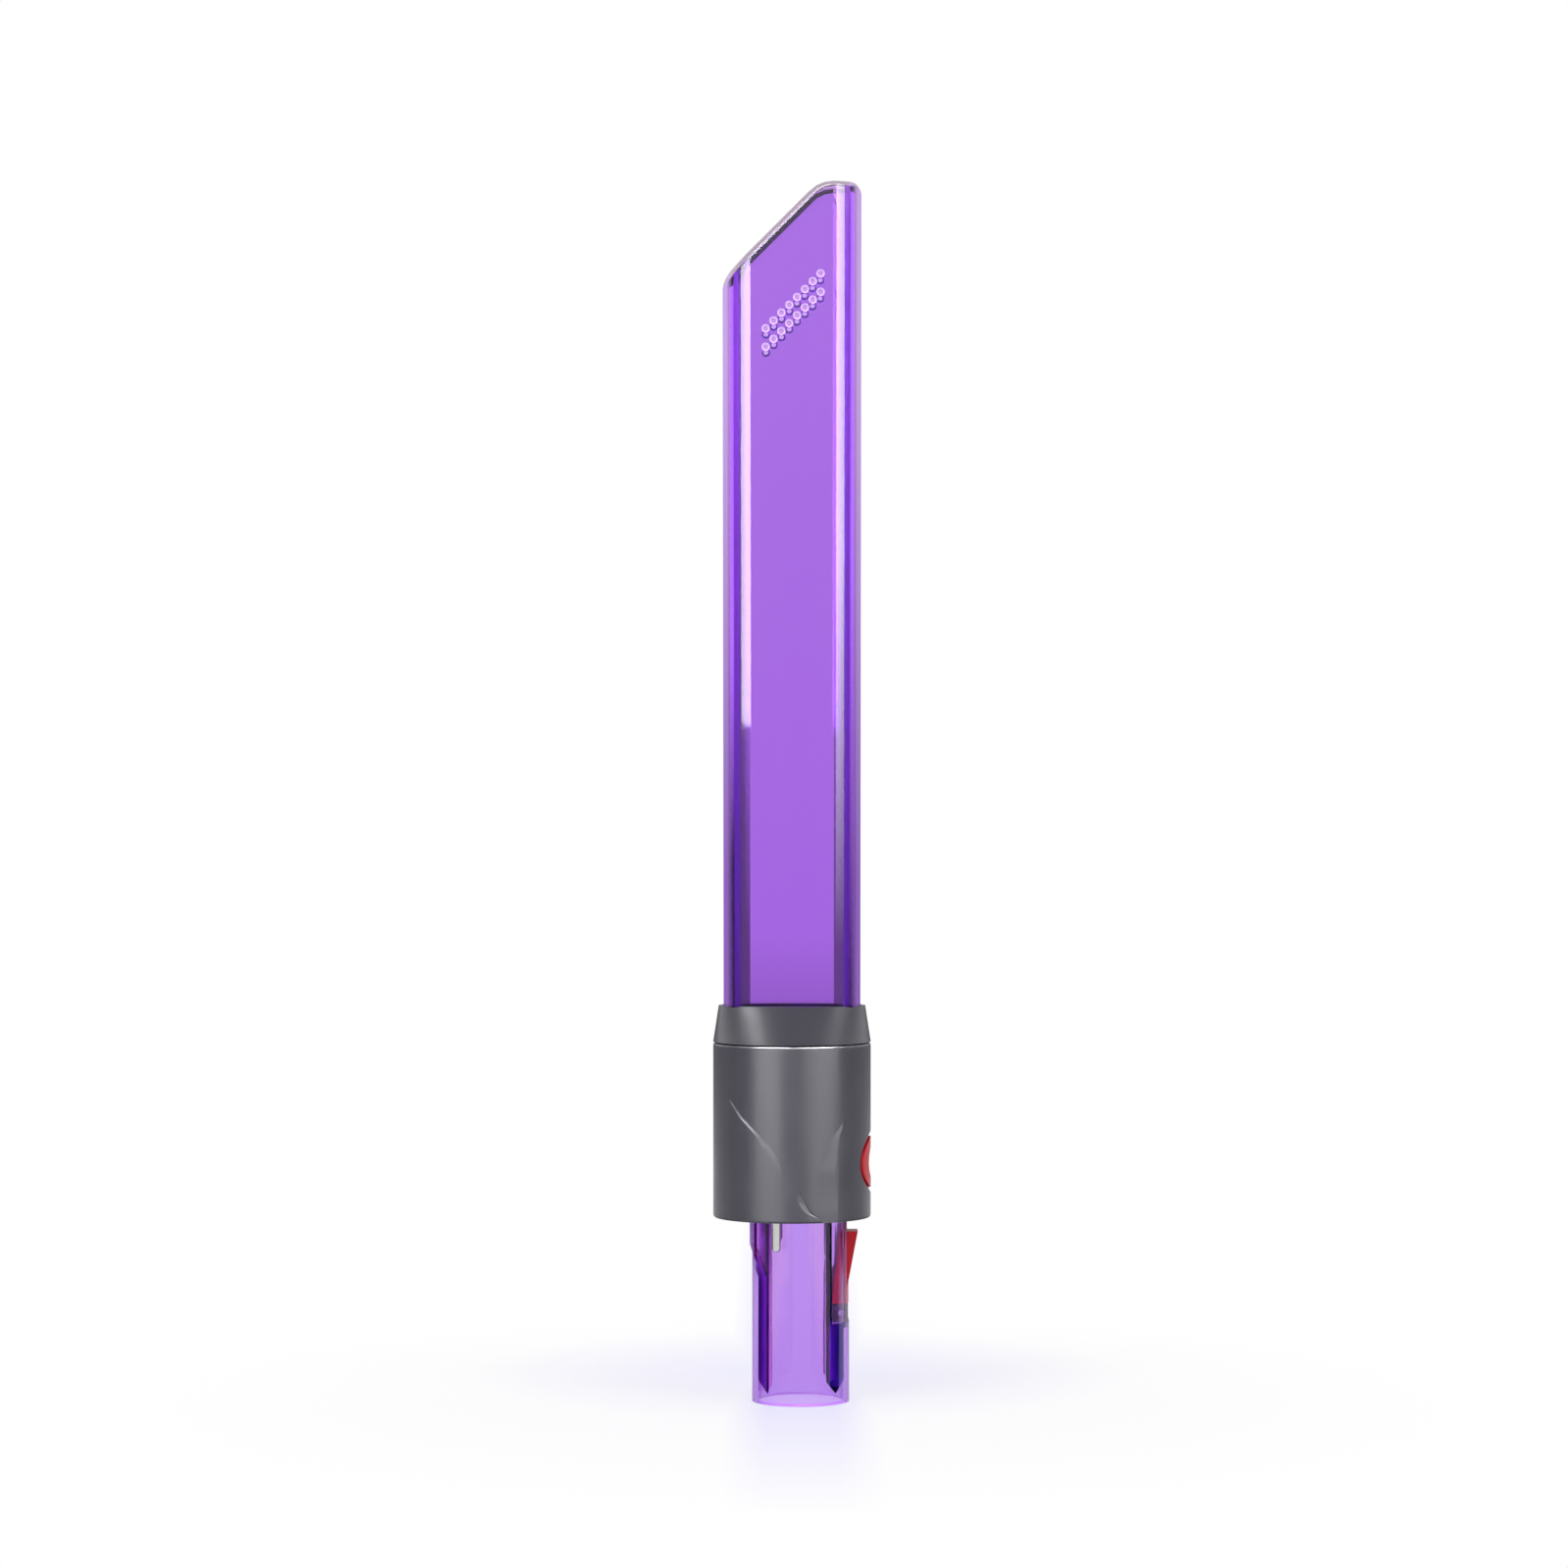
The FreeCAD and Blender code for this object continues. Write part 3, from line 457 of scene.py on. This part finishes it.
def nozzle_skin():
    blade_levels = [BLADE_FOOT_Z + BLADE_LEVEL_STEP * (k + 1) for k in range(BLADE_LEVELS)]
    rings = [level_ring(round_section(SOCKET_R), SOCKET_Z), level_ring(round_section(SOCKET_R), NECK_Z)]
    rings += [level_ring(blade_section(half_width(z), 0), z) for z in [BLADE_FOOT_Z] + blade_levels]
    rings += lip_rings()
    rings += [level_ring(blade_section(half_width(z), BLADE_WALL), z)
              for z in blade_levels[::-1] + [BLADE_FOOT_Z]]
    rings += [level_ring(round_section(THROAT_R), SEAT_Z), level_ring(round_section(SOCKET_BORE_R), SEAT_Z),
              level_ring(round_section(SOCKET_BORE_R), SOCKET_Z)]
    return tube_of_rings(rings)


def bleed_drill():
    """Countersunk drill through both broad walls, turned about the Y axis."""
    half, steps = BLADE_HALF_THICK, DRILL_STEPS
    wide = BLEED_SINK_R + (BLEED_SINK_R - BLEED_R) / BLEED_SINK * BLEED_OVER
    profile = [(-half - BLEED_OVER, wide), (-half + BLEED_SINK, BLEED_R),
               (half - BLEED_SINK, BLEED_R), (half + BLEED_OVER, wide)]
    points, faces = [], []
    for y, r in profile:
        for i in range(steps):
            a = 2 * math.pi * i / steps
            points.append((r * math.cos(a), y, r * math.sin(a)))
    for k in range(len(profile) - 1):
        for i in range(steps):
            j = (i + 1) % steps
            faces.append((k * steps + i, k * steps + j, (k + 1) * steps + j, (k + 1) * steps + i))
    faces.append(tuple(range(steps))[::-1])
    faces.append(tuple((len(profile) - 1) * steps + i for i in range(steps)))
    return link_mesh("bleed_drill", points, faces, clear_purple)


def bleed_hole_nodes():
    """Node group that drills rows of holes into the geometry it is given."""
    group = bpy.data.node_groups.new("bleed_holes", "GeometryNodeTree")
    sides = group.interface
    for name, kind in (("Geometry", "Geometry"), ("Drill", "Object"), ("Holes", "Int"), ("Rows", "Int"),
                       ("Start", "Vector"), ("Hole Step", "Vector"), ("Row Step", "Vector"),
                       ("Material", "Material")):
        sides.new_socket(name, in_out="INPUT", socket_type="NodeSocket" + kind)
    sides.new_socket("Geometry", in_out="OUTPUT", socket_type="NodeSocketGeometry")
    given = group.nodes.new("NodeGroupInput")
    result = group.nodes.new("NodeGroupOutput")
    link = group.links.new
    line = group.nodes.new("GeometryNodeMeshLine")
    rows = group.nodes.new("GeometryNodeMeshLine")
    for node, count, start, step in ((line, "Holes", None, "Hole Step"), (rows, "Rows", "Start", "Row Step")):
        link(given.outputs[count], node.inputs["Count"])
        link(given.outputs[step], node.inputs["Offset"])
        if start:
            link(given.outputs[start], node.inputs["Start Location"])
    drill = group.nodes.new("GeometryNodeObjectInfo")
    link(given.outputs["Drill"], drill.inputs["Object"])
    in_row = group.nodes.new("GeometryNodeInstanceOnPoints")
    link(line.outputs["Mesh"], in_row.inputs["Points"])
    link(drill.outputs["Geometry"], in_row.inputs["Instance"])
    in_rows = group.nodes.new("GeometryNodeInstanceOnPoints")
    link(rows.outputs["Mesh"], in_rows.inputs["Points"])
    link(in_row.outputs["Instances"], in_rows.inputs["Instance"])
    real = group.nodes.new("GeometryNodeRealizeInstances")
    link(in_rows.outputs["Instances"], real.inputs["Geometry"])
    cut = group.nodes.new("GeometryNodeMeshBoolean")
    cut.operation = "DIFFERENCE"
    link(given.outputs["Geometry"], cut.inputs["Mesh 1"])
    link(real.outputs["Geometry"], cut.inputs["Mesh 2"])
    paint = group.nodes.new("GeometryNodeSetMaterial")
    link(cut.outputs["Mesh"], paint.inputs["Geometry"])
    link(given.outputs["Material"], paint.inputs["Material"])
    link(paint.outputs["Geometry"], result.inputs["Geometry"])
    return group


def drill_bleed_holes(obj):
    group = bleed_hole_nodes()
    modifier = obj.modifiers.new("bleed_holes", "NODES")
    modifier.node_group = group
    settings = {
        "Drill": bleed_drill(), "Holes": BLEED_HOLES, "Rows": BLEED_ROWS,
        "Start": ((COLLAR_AXIS_X + BLEED_START[0]) * MM, 0, BLEED_START[1] * MM),
        "Hole Step": (-BLEED_STEP * MM, 0, -BLEED_STEP * MM),
        "Row Step": (0, 0, -BLEED_ROW_DROP * MM), "Material": clear_purple,
    }
    for item in group.interface.items_tree:
        if item.in_out == "INPUT" and item.name in settings:
            modifier[item.identifier] = settings[item.name]


def join_flat_faces(obj):
    """Joins faces that lie in one plane, so that the holes are cut from whole walls."""
    mesh = bmesh.new()
    mesh.from_mesh(obj.data)
    bmesh.ops.dissolve_limit(mesh, angle_limit=math.radians(0.3), verts=mesh.verts, edges=mesh.edges)
    mesh.to_mesh(obj.data)
    mesh.free()


def paint_hole_and_lip_light(mesh):
    """Paints the bleed holes' walls pale, their frosted cut lightened as painted light, and paints a
    highlight on the mouth's lip.
    """
    mesh.materials.append(pale_cut_and_painted_light)
    mesh.materials.append(lip_painted_highlight)
    low = BLEED_START[1] - BLEED_ROW_DROP - BLEED_HOLES * BLEED_STEP - BLEED_SINK_R
    for face in mesh.polygons:
        x, z = face.center.x / MM - COLLAR_AXIS_X, face.center.z / MM
        among = abs(x) < BLEED_START[0] + 2 * BLEED_SINK_R and low < z < BLEED_START[1] + 2 * BLEED_SINK_R
        if among and abs(face.normal.y) < BROAD_SHARE:
            face.material_index = 1
        elif z > BLADE_TOP_Z - 2 * BLADE_HALF_WIDTH_TIP and face.normal.z > LIP_SHARE:
            face.material_index = 2


def clear_nozzle():
    points, faces = nozzle_skin()
    raw = link_mesh("nozzle_blank", points, faces, clear_purple)
    join_flat_faces(raw)
    drill_bleed_holes(raw)
    drilled = frozen(raw, "nozzle_drilled")
    bpy.data.objects.remove(bpy.data.objects["bleed_drill"])
    paint_hole_and_lip_light(drilled.data)
    return finished(shaded(drilled), "clear_nozzle", "tool", "nozzle_pipe")


def paint_duct_shade_and_end_light(mesh):
    """Paints the walls that part the duct and the pad with matt painted light and shade, and the tube's end
    pale as painted light.
    """
    mesh.materials[0] = clear_purple_tube
    for look in (web_painted_light_shade, pad_painted_shade, pale_cut_and_painted_light):
        mesh.materials.append(look)
    for face in mesh.polygons:
        x, y = face.center.x / MM, abs(face.center.y) / MM
        upright = abs(face.normal.x) > WEB_SHARE and abs(face.normal.y) < UPRIGHT_SHARE
        pad_side = abs(face.normal.y) > PAD_SIDE_SHARE and abs(y - PAD_HALF) < PAD_NEAR
        if upright and abs(x) < WEB_REACH:
            face.material_index = 1
        if upright and x < PAD_FACE_X or pad_side and x < PAD_START_X:
            face.material_index = 2
        if face.normal.z < -END_SHARE and face.center.z < TUBE_END_Z * MM:
            face.material_index = 3


def duct_side_wall():
    """Upper run of the left wall in the duct, which stays upright where its back slopes outward."""
    rings = []
    for side in (-1, 1):
        rings.append([(x, side * (math.sqrt(DUCT_R ** 2 - x ** 2) - SIDE_WALL_GAP), z)
                      for x, z in SIDE_WALL])
    count = len(SIDE_WALL)
    faces = [tuple(range(count)), tuple(range(count, 2 * count))[::-1]]
    for i in range(count):
        j = (i + 1) % count
        faces.append((i, i + count, j + count, j))
    # Its matt paint is painted light in the middle and painted shade outside
    wall = link_mesh("duct_side_wall", rings[0] + rings[1], faces, side_wall_painted_light_shade)
    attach(wall, "tool")


def joined_copy(node_name, piece_name, body, degrees=30, paint=None):
    """Copy of a solid's mesh with its faces joined, so that curved walls shade and refract smoothly."""
    source = nodes[node_name]
    copy = bpy.data.objects.new(piece_name + "_blank", source.data.copy())
    bpy.context.scene.collection.objects.link(copy)
    weld = copy.modifiers.new("join_faces", "WELD")
    weld.merge_threshold = 0.000002
    joined = frozen(copy, piece_name + "_joined")
    if "custom_normal" in joined.data.attributes:
        joined.data.attributes.remove(joined.data.attributes["custom_normal"])
    if paint:
        paint(joined.data)
    return finished(shaded(joined, degrees), piece_name, body, node_name)


clear_pieces = [clear_nozzle(),
                joined_copy("coupling_tube", "clear_coupling_tube", "tool", paint=paint_duct_shade_and_end_light)]
duct_side_wall()
sleeve = joined_copy("collar_sleeve", "satin_collar_sleeve", "tool", 12)
shoulder = joined_copy("collar_shoulder", "satin_collar_shoulder", "tool")
joined_copy("release_latch", "red_release_latch", "latch")
spring = joined_copy("latch_spring", "coiled_latch_spring", "tool")
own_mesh(spring)


# Studio

# Lens and sensor in millimetres, places and distances in metres
CAMERA_LENS = 99.7
CAMERA_SENSOR = 36.0
CAMERA_FAR = 50.0
CAMERA_PLACE = (-0.0048, -1.254, 0.1779)
FLOOR_HALF_SIDE = 6.0
# How far behind the object the painted shade on the floor is centred
SHADE_BEHIND = 0.06
CARD_STEPS = 8
AMBIENT = 0.6
LAMP_SIZE = 0.7
LAMP_AIM = (0, 0, 0.15)
LAMPS = [("key_lamp", (-0.9, -1.0, 1.2), 10), ("fill_lamp", (1.1, -0.9, 0.9), 6)]
BOUNCES = 24


def only_mirrored(obj):
    """Keeps a card out of the picture and out of the soft light: it shows in glass and gloss."""
    obj.visible_camera = False
    obj.visible_diffuse = False
    obj.visible_shadow = False


def standing_card(name, distance, first, last, foot, top, low, high=None, fade_from=0.0, fade_to=1.0,
                  only_in=None, through=True):
    """Curved card round the object, from azimuth first to last (degrees from +Y towards +X).

    Its glow is low, or runs from low to high between the heights fade_from and fade_to. With
    only_in it shows in those pieces alone, and the others look through it. Without through it
    shows in gloss, and not behind clear pieces.
    """
    points, faces = [], []
    for i in range(CARD_STEPS + 1):
        a = math.radians(first + (last - first) * i / CARD_STEPS)
        x, y = distance * math.sin(a) / MM, distance * math.cos(a) / MM
        points += [(x, y, foot / MM), (x, y, top / MM)]
    for i in range(CARD_STEPS):
        faces.append((2 * i, 2 * i + 2, 2 * i + 3, 2 * i + 1))
    mat, tree, _, output = new_material(name + "_face")
    glow = tree.nodes.new("ShaderNodeEmission")
    glow.inputs["Color"].default_value = (1, 1, 1, 1)
    level = mapped(tree, along(tree, "Z"), fade_from, fade_to, low, low if high is None else high)
    tree.links.new(level, glow.inputs["Strength"])
    tree.links.new(glow.outputs["Emission"], output.inputs["Surface"])
    card = link_mesh(name, points, faces, mat)
    only_mirrored(card)
    card.visible_transmission = through
    if only_in:
        both = tree.nodes.new("ShaderNodeAddShader")
        tree.links.new(glow.outputs["Emission"], both.inputs[0])
        tree.links.new(tree.nodes.new("ShaderNodeBsdfTransparent").outputs["BSDF"], both.inputs[1])
        tree.links.new(both.outputs["Shader"], output.inputs["Surface"])
        seen_in = bpy.data.collections.new(name + "_shows_in")
        for piece in only_in:
            seen_in.objects.link(piece)
        card.light_linking.receiver_collection = seen_in


def distance_from(tree, x, y):
    """Distance over the floor from a point, on object coordinates."""
    where = tree.nodes.new("ShaderNodeTexCoord")
    place = tree.nodes.new("ShaderNodeMapping")
    place.inputs["Location"].default_value = (-x, -y, 0)
    away = tree.nodes.new("ShaderNodeVectorMath")
    away.operation = "LENGTH"
    tree.links.new(where.outputs["Object"], place.inputs["Vector"])
    tree.links.new(place.outputs["Vector"], away.inputs[0])
    return away.outputs["Value"]


def pale_floor():
    """White floor with a painted reflection of the tube and a painted shade near the object.

    It glows to the eye, in glass and in gloss, and not on the object.
    """
    side = FLOOR_HALF_SIDE / MM
    mat, tree, shader, output = new_material("pale_floor")
    tone = object_noise(tree, 3, 2)
    tree.links.new(two_tone(tree, tone, (0.88, 0.88, 0.96), (0.9, 0.9, 0.98)), shader.inputs["Base Color"])
    shader.inputs["Roughness"].default_value = 0.6
    shader.inputs["Specular IOR Level"].default_value = 0.0
    # A painted reflection: a cool band through the foot that fades out in front, as the tube's image in a
    # floor does; and a painted shade behind it
    painted_reflection = combined(tree, mapped(tree, off_middle(tree, "X"), 0.01, 0.022, 0.75, 0),
                     mapped(tree, along(tree, "Y"), -0.2, -0.02, 0, 1))
    shade = mapped(tree, distance_from(tree, 0, SHADE_BEHIND), 0.02, 0.1, 0.5, 0)
    white = tree.nodes.new("ShaderNodeEmission")
    # The floor's glow carries the painted reflection and the painted shade
    tree.links.new(two_tone(tree, combined(tree, painted_reflection, shade, "MAXIMUM"), (1, 1, 1), (0.78, 0.75, 1.0)),
                   white.inputs["Color"])
    path = tree.nodes.new("ShaderNodeLightPath")
    seen = combined(tree, path.outputs["Is Camera Ray"], path.outputs["Is Glossy Ray"], "ADD")
    seen = combined(tree, seen, path.outputs["Is Transmission Ray"], "ADD")
    # Near the foot a share of the floor keeps the real shadow
    share = combined(tree, seen, mapped(tree, distance_from(tree, 0, 0), 0.05, 0.2, 0.83, 1))
    blend = tree.nodes.new("ShaderNodeMixShader")
    tree.links.new(share, blend.inputs["Fac"])
    tree.links.new(shader.outputs["BSDF"], blend.inputs[1])
    tree.links.new(white.outputs["Emission"], blend.inputs[2])
    tree.links.new(blend.outputs["Shader"], output.inputs["Surface"])
    floor = link_mesh("studio_floor", [(-side, -side, 0), (side, -side, 0), (side, side, 0),
                                       (-side, side, 0)], [(0, 1, 2, 3)], mat)


def white_world():
    """White to the camera, in glass and in gloss, and a plain soft level on the object."""
    world = bpy.data.worlds.new("white_studio")
    world.use_nodes = True
    bpy.context.scene.world = world
    tree = world.node_tree
    background = tree.nodes["Background"]
    background.inputs["Color"].default_value = (1, 1, 1, 1)
    path = tree.nodes.new("ShaderNodeLightPath")
    plain = mapped(tree, path.outputs["Is Diffuse Ray"], 0, 1, 1.0, AMBIENT)
    tree.links.new(plain, background.inputs["Strength"])


def soft_lamp(name, place, toward, size, watts):
    data = bpy.data.lights.new(name, "AREA")
    data.shape = "DISK"
    data.size = size
    data.energy = watts
    lamp = bpy.data.objects.new(name, data)
    bpy.context.scene.collection.objects.link(lamp)
    lamp.location = place
    lamp.rotation_euler = (Vector(toward) - Vector(place)).to_track_quat("-Z", "Y").to_euler()
    lamp.visible_camera = False
    lamp.visible_glossy = False
    lamp.visible_transmission = False


def camera():
    data = bpy.data.cameras.new("photo_camera")
    data.lens = CAMERA_LENS
    data.sensor_width = CAMERA_SENSOR
    data.clip_end = CAMERA_FAR
    cam = bpy.data.objects.new("photo_camera", data)
    bpy.context.scene.collection.objects.link(cam)
    cam.location = CAMERA_PLACE
    cam.rotation_euler = (math.radians(90), 0, 0)
    bpy.context.scene.camera = cam


# Name, distance, azimuths, foot and top, then the glow, or a glow below and one above and the
# heights between which it goes from one to the other
BACK_CARDS = [
    ("back_card", 1.3, -4, 4, 0.001, 1.0, 0.5, 1.0, 0.0, 0.09),
    ("left_flag", 1.0, -31, -3, 0.001, 1.0, 0.19, 0.75, 0.15, 0.5),
    ("right_flag", 1.0, 3, 31, 0.001, 1.0, 0.25, 0.75, 0.15, 0.5),
    ("left_side_card", 1.05, -75, -31, 0.001, 1.0, 0.1, 1.7, 0.14, 0.25),
    ("right_side_card", 1.05, 31, 75, 0.001, 1.0, 0.2, 1.6, 0.07, 0.3),
]
FRONT_CARDS = [
    ("left_front_flag", 1.15, -137, -75, 0.001, 1.0, 0.12, 1.0, 0.1, 0.9),
    ("right_front_flag", 1.15, 75, 131, 0.001, 1.0, 0.12, 1.0, 0.1, 0.9),
    ("front_card", 1.15, 131, 223, 0.001, 1.0, 0.2, 2.2, 0.02, 1.0),
]
LOW_FLAGS = [
    ("left_low_flag", 0.03, -118, -82, 0.001, 0.05, 0.05),
    ("left_low_fade", 0.03, -82, -20, 0.001, 0.05, 1.0, 0.1, 0.028, 0.04),
    ("right_low_flag", 0.03, 98, 122, 0.001, 0.05, 0.05),
    ("right_low_fade", 0.03, 40, 98, 0.001, 0.05, 1.0, 0.1, 0.028, 0.04),
]
SOFTBOXES = [
    ("left_softbox", 1.1, -175, -137, 0.209, 2.6, 12.0),
    ("right_softbox", 1.1, 131, 164, 0.09, 2.6, 0.0, 11.5, 0.09, 0.3),
]
SLEEVE_CARDS = [
    ("left_upper_softbox", 1.02, -175, -137, 0.25, 2.6, 2.0),
    ("right_upper_softbox", 1.02, 131, 164, 0.25, 2.6, 2.5),
    ("left_low_softbox", 1.02, -166, -124, 0.001, 0.25, 8.5),
    ("right_low_softbox", 1.02, 112, 156, 0.001, 0.25, 6.5),
    ("front_low_card", 1.02, 156, 194, 0.001, 0.25, 1.2),
    ("left_high_softbox", 0.8, -166, -114, 0.9, 2.4, 125.0),
    ("right_high_softbox", 0.8, 100, 148, 0.9, 2.4, 130.0),
]
SHOULDER_CARDS = [
    ("left_streak_card", 0.95, -122, -112, 0.9, 1.7, 44.0),
    ("right_streak_card", 0.95, 98, 112, 0.8, 1.5, 5.0),
]
camera()
pale_floor()
white_world()
for card in BACK_CARDS:
    standing_card(*card)
for card in FRONT_CARDS + LOW_FLAGS:
    standing_card(*card, through=False)
for cards, pieces in ((SOFTBOXES, clear_pieces), (SLEEVE_CARDS, [sleeve]), (SHOULDER_CARDS, [shoulder])):
    for card in cards:
        standing_card(*card, only_in=pieces)
for name, place, watts in LAMPS:
    soft_lamp(name, place, LAMP_AIM, LAMP_SIZE, watts)

scene = bpy.context.scene
scene.view_settings.view_transform = "Standard"
scene.cycles.max_bounces = BOUNCES
scene.cycles.transmission_bounces = BOUNCES
